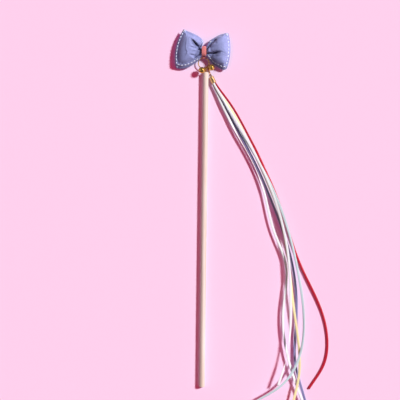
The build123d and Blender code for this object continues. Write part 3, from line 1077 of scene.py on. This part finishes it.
def make_tab():
    """Short coral ribbon round the ring's top, with its tail up the back of the wrap."""
    low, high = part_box("ring_tab")
    ring_low, ring_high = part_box("main_ring")
    radius = high.y - 0.2 * MM
    inner_radius = radius * 0.86
    centre_z = ring_high.z - (ring_high.y - ring_low.y) / 2
    # The front end is tucked in over the wire, the loop runs under it, the tail goes up behind
    over = np.linspace(0.25 * pi, 0.9 * pi, 14)
    front = np.stack([inner_radius * np.cos(over), inner_radius * np.sin(over) + centre_z], 1)
    under = np.linspace(0.95 * pi, 2 * pi, 30)
    loop = np.stack([radius * np.cos(under), radius * np.sin(under) + centre_z], 1)
    tail_z = np.linspace(centre_z + 0.3 * MM, high.z, 14)
    tail = np.stack([np.full(len(tail_z), radius), tail_z], 1)
    path = smoothed(np.concatenate([front, loop, tail]), 2)
    sizes = {"thickness": 0.3 * MM, "pleat": 0.03 * MM, "turned_in": 0.0}
    band("hanging_tab", "ring_tab", path, high.x - low.x, **sizes)


def extended(end, further_in):
    """A point a little beyond the end of a line."""
    step = end - further_in
    return end + step / np.linalg.norm(step) * PATH_EXTENSION


def ribbon_path(node):
    """Middle line of a CAD ribbon from its top down, from level cuts through its mesh."""
    mesh = frame["nodes"][node].data
    points = np.array([v.co for v in mesh.vertices])
    edges = np.array([e.vertices for e in mesh.edges])
    low, high = points[:, 2].min(), points[:, 2].max()
    a, b = points[edges[:, 0]], points[edges[:, 1]]
    middles = []
    for level in np.linspace(high - PATH_TOP_GAP, low + PATH_END_GAP, PATH_CUTS):
        crossing = (a[:, 2] - level) * (b[:, 2] - level) < 0
        p, q = a[crossing], b[crossing]
        share = ((level - p[:, 2]) / (q[:, 2] - p[:, 2]))[:, None]
        cut = p + (q - p) * share
        middles.append((cut.min(0) + cut.max(0)) / 2)
    start = extended(middles[0], middles[2])
    end = extended(middles[-1], middles[-3])
    return smoothed(np.array([start, *middles, end]), 3)


def values_along(stops, share):
    """Values between (share, value) stops, with their corners eased."""
    shares, values = zip(*stops)
    return smoothed(np.interp(share, shares, values)[:, None], 8)[:, 0]


def make_ribbon(node, lie):
    """Thin satin ribbon, cupped across its width and gently twisted along its length."""
    path = ribbon_path(node)
    count = round(lengths_along(path)[-1] / RIBBON_STATION)
    path = smoothed(resample(path, count), 2)
    along = lengths_along(path)
    share = along / along[-1]
    tangents = directions_along(path)
    tilts = np.radians(values_along(lie["tilt"], share))
    shifts = values_along(lie["shift"], share) * MM
    top_side, under_side, uvs = [], [], []
    for centre, tangent, tilt, shift, place in zip(path, tangents, tilts, shifts, along):
        level = np.cross(tangent, [0, -1.0, 0])
        level /= np.linalg.norm(level)
        outward = np.cross(level, tangent)
        side = level * cos(tilt) + outward * sin(tilt)
        up = -level * sin(tilt) + outward * cos(tilt)
        centre = centre - level * shift
        half_width = HALF_WIDTH * (1 - NARROWING * np.exp(-place / NARROWING_LENGTH))
        cup = lie["cupping"] * HALF_WIDTH * (CUP_MEAN + CUP_VARIATION * sin(place / CUP_WAVE))
        for a in np.linspace(-1, 1, RIBBON_COLUMNS):
            middle = centre + side * a * half_width + up * cup * (0.2 - 2 * a * a)
            half_thickness = RIBBON_THICKNESS / 2 * (1 - EDGE_THINNING * abs(a) ** 6)
            top_side.append(middle + up * half_thickness)
            under_side.append(middle - up * half_thickness)
            uvs.append((a * HALF_WIDTH, place))
    faces = two_sided_faces(count, RIBBON_COLUMNS)
    name = node.replace("_ribbon", "") + "_satin_ribbon"
    piece = make_piece(name, top_side + under_side, faces, node, uvs + uvs)
    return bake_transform(piece)


# --- Stage ---
def paper_material():
    """Pale pink paper, clear when it is seen from behind, so that the object's back shows."""
    look = Look("backdrop_paper", Specular_IOR_Level=0.0)
    fibres = look.noise(500, detail=4.0)
    coloured = look.ramp(fibres, (0.0, shade(PAPER, 0.985)), (1.0, shade(PAPER, 1.01)))
    # Painted light: the paper glows pink in place of light bounced into its shadows, and the glow
    # fades where the object crowds it
    look.finish(coloured, 0.9, fibres, bump=0.05, depth=0.05 * MM, glow=(*PAPER_GLOW, 1))
    open_space = look.math("POWER", look.openness(GLOW_REACH, samples=8), 2.0)
    look.put(open_space, look.shader.inputs["Emission Strength"])
    clear = look.add("BsdfTransparent", {})
    behind = look.add("NewGeometry", {}).outputs["Backfacing"]
    shadow = look.add("LightPath", {}).outputs["Is Shadow Ray"]
    through = look.math("MAXIMUM", behind, shadow)
    mixed = look.add("MixShader", {0: through, 1: look.shader.outputs[0], 2: clear.outputs[0]})
    look.put(mixed.outputs[0], look.tree.nodes["Material Output"].inputs["Surface"])
    return look.material


def far_points():
    """Points of each moving body that may swing furthest back, as (body, point)."""
    found = []
    for body, nodes in frame["record"]["behaviour"]["bodies"].items():
        if body == "wand":
            continue
        if "ribbon" in body:
            path = ribbon_path(body)
            for spot in (path[-1], path[len(path) * 3 // 4]):
                found.append((body, Vector(spot)))
            continue
        boxes = [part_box(node) for node in nodes]
        low = Vector([min(box[0][k] for box in boxes) for k in range(3)])
        high = Vector([max(box[1][k] for box in boxes) for k in range(3)])
        for z in (low.z, high.z):
            for y in (low.y, high.y):
                found.append((body, Vector(((low.x + high.x) / 2, y, z))))
    return found


def make_backdrop():
    """Upright sheet just behind the object. It stays behind it as the bodies swing."""
    low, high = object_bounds()
    middle = (low + high) / 2
    half = BACKDROP_SIZE / 2
    corners = []
    for x, z in ((-half, -half), (half, -half), (half, half), (-half, half)):
        corners.append((middle.x + x, BACKDROP_GAP, middle.z + z))
    mesh = bpy.data.meshes.new("backdrop")
    mesh.from_pydata(corners, [], [(0, 1, 2, 3)])
    mesh.materials.append(paper_material())
    sheet = add_object("backdrop", mesh)
    y_axis = 1
    driver = sheet.driver_add("location", y_axis).driver
    driver.type = "MAX"
    for number, (body, point) in enumerate(far_points()):
        probe = add_object(f"probe_{number}", None)
        probe.parent = frame["bodies"][body]
        probe.location = point
        probe.hide_render = True
        variable = driver.variables.new()
        variable.name = f"p{number}"
        variable.type = "TRANSFORMS"
        target = variable.targets[0]
        target.id = probe
        target.transform_type = "LOC_Y"
        target.transform_space = "WORLD_SPACE"


def before_paper(right, up, degrees):
    """Direction of a lamp that stands right and up of the object, so far in front of the paper."""
    lift = radians(degrees)
    return (right * cos(lift), -sin(lift), up * cos(lift))


def add_sun(name, towards, strength, angle, colour, shine=False):
    """Distant lamp in a direction. It lights surfaces, or with shine only glints in them."""
    lamp = bpy.data.lights.new(name, "SUN")
    lamp.energy = strength
    lamp.angle = radians(angle)
    lamp.color = colour
    holder = add_object(name, lamp)
    holder.rotation_mode = "QUATERNION"
    holder.rotation_quaternion = Vector(towards).to_track_quat("Z", "Y")
    holder.visible_diffuse = not shine
    holder.visible_glossy = shine
    return holder


def make_lights():
    """A key from the upper right with its glint, a weak lamp behind, and one that skims the bow."""
    key = before_paper(0.89, 0.46, 46.5)
    add_sun("key", key, strength=4.35, angle=8, colour=(1.0, 0.985, 0.97))
    add_sun("key_glint", key, strength=0.6, angle=26, colour=(1.0, 0.97, 0.9), shine=True)
    add_sun("back_fill", (-0.3, 1.0, 0.5), strength=1.6, angle=30, colour=(1.0, 0.96, 0.98))
    low = before_paper(0.86, 0.5, 14)
    skim = add_sun("bow_skim", low, strength=3.1, angle=12, colour=(1.0, 0.985, 0.98))
    bow_only = bpy.data.collections.new("bow_only")
    for name in ("front_cover", "back_cover", "running_stitch"):
        bow_only.objects.link(bpy.data.objects[name])
    skim.light_linking.receiver_collection = bow_only


def make_studio():
    """Surroundings: an even light on soft surfaces, and bright and dark sides that metal reflects."""
    world = bpy.data.worlds.new("studio")
    bpy.context.scene.world = world
    world.use_nodes = True
    nodes = Nodes(world.node_tree)
    sideways = nodes.add("SeparateXYZ", {0: nodes.coords.outputs["Generated"]}).outputs["X"]
    across = nodes.add("MapRange", {"Value": sideways, "From Min": -1}).outputs[0]
    stops = [(position, shade(REFLECTED_TINT, level)) for position, level in REFLECTED]
    rays = nodes.add("LightPath", {})
    lit = nodes.blend(rays.outputs["Is Glossy Ray"], AMBIENT, nodes.ramp(across, *stops))
    seen = nodes.blend(rays.outputs["Is Camera Ray"], lit, BEYOND)
    nodes.put(seen, nodes.tree.nodes["Background"].inputs["Color"])


def make_camera():
    data = bpy.data.cameras.new("camera")
    data.lens = VIEW_LENS
    data.sensor_width = VIEW_SENSOR
    camera = add_object("camera", data)
    right = Vector((1, 0, VIEW_ROLL)).normalized()
    up = Vector((-VIEW_ROLL, 0, 1)).normalized()
    back = Vector((0, -1, 0))
    turn = Matrix((right, up, back)).transposed().to_4x4()
    place = VIEW_CENTRE + back * VIEW_WIDTH * VIEW_LENS / VIEW_SENSOR
    camera.matrix_world = Matrix.Translation(place) @ turn
    bpy.context.scene.camera = camera


# --- The scene ---
for node, part in frame["nodes"].items():
    for material_slot in part.material_slots:
        material_slot.material = MATERIALS[SLOTS[node]]

make_bow()
make_wrap()
make_tab()
for ribbon, lie in RIBBONS.items():
    make_ribbon(ribbon, lie)
make_backdrop()
make_lights()
make_studio()
make_camera()
bpy.context.scene.view_settings.view_transform = "Standard"
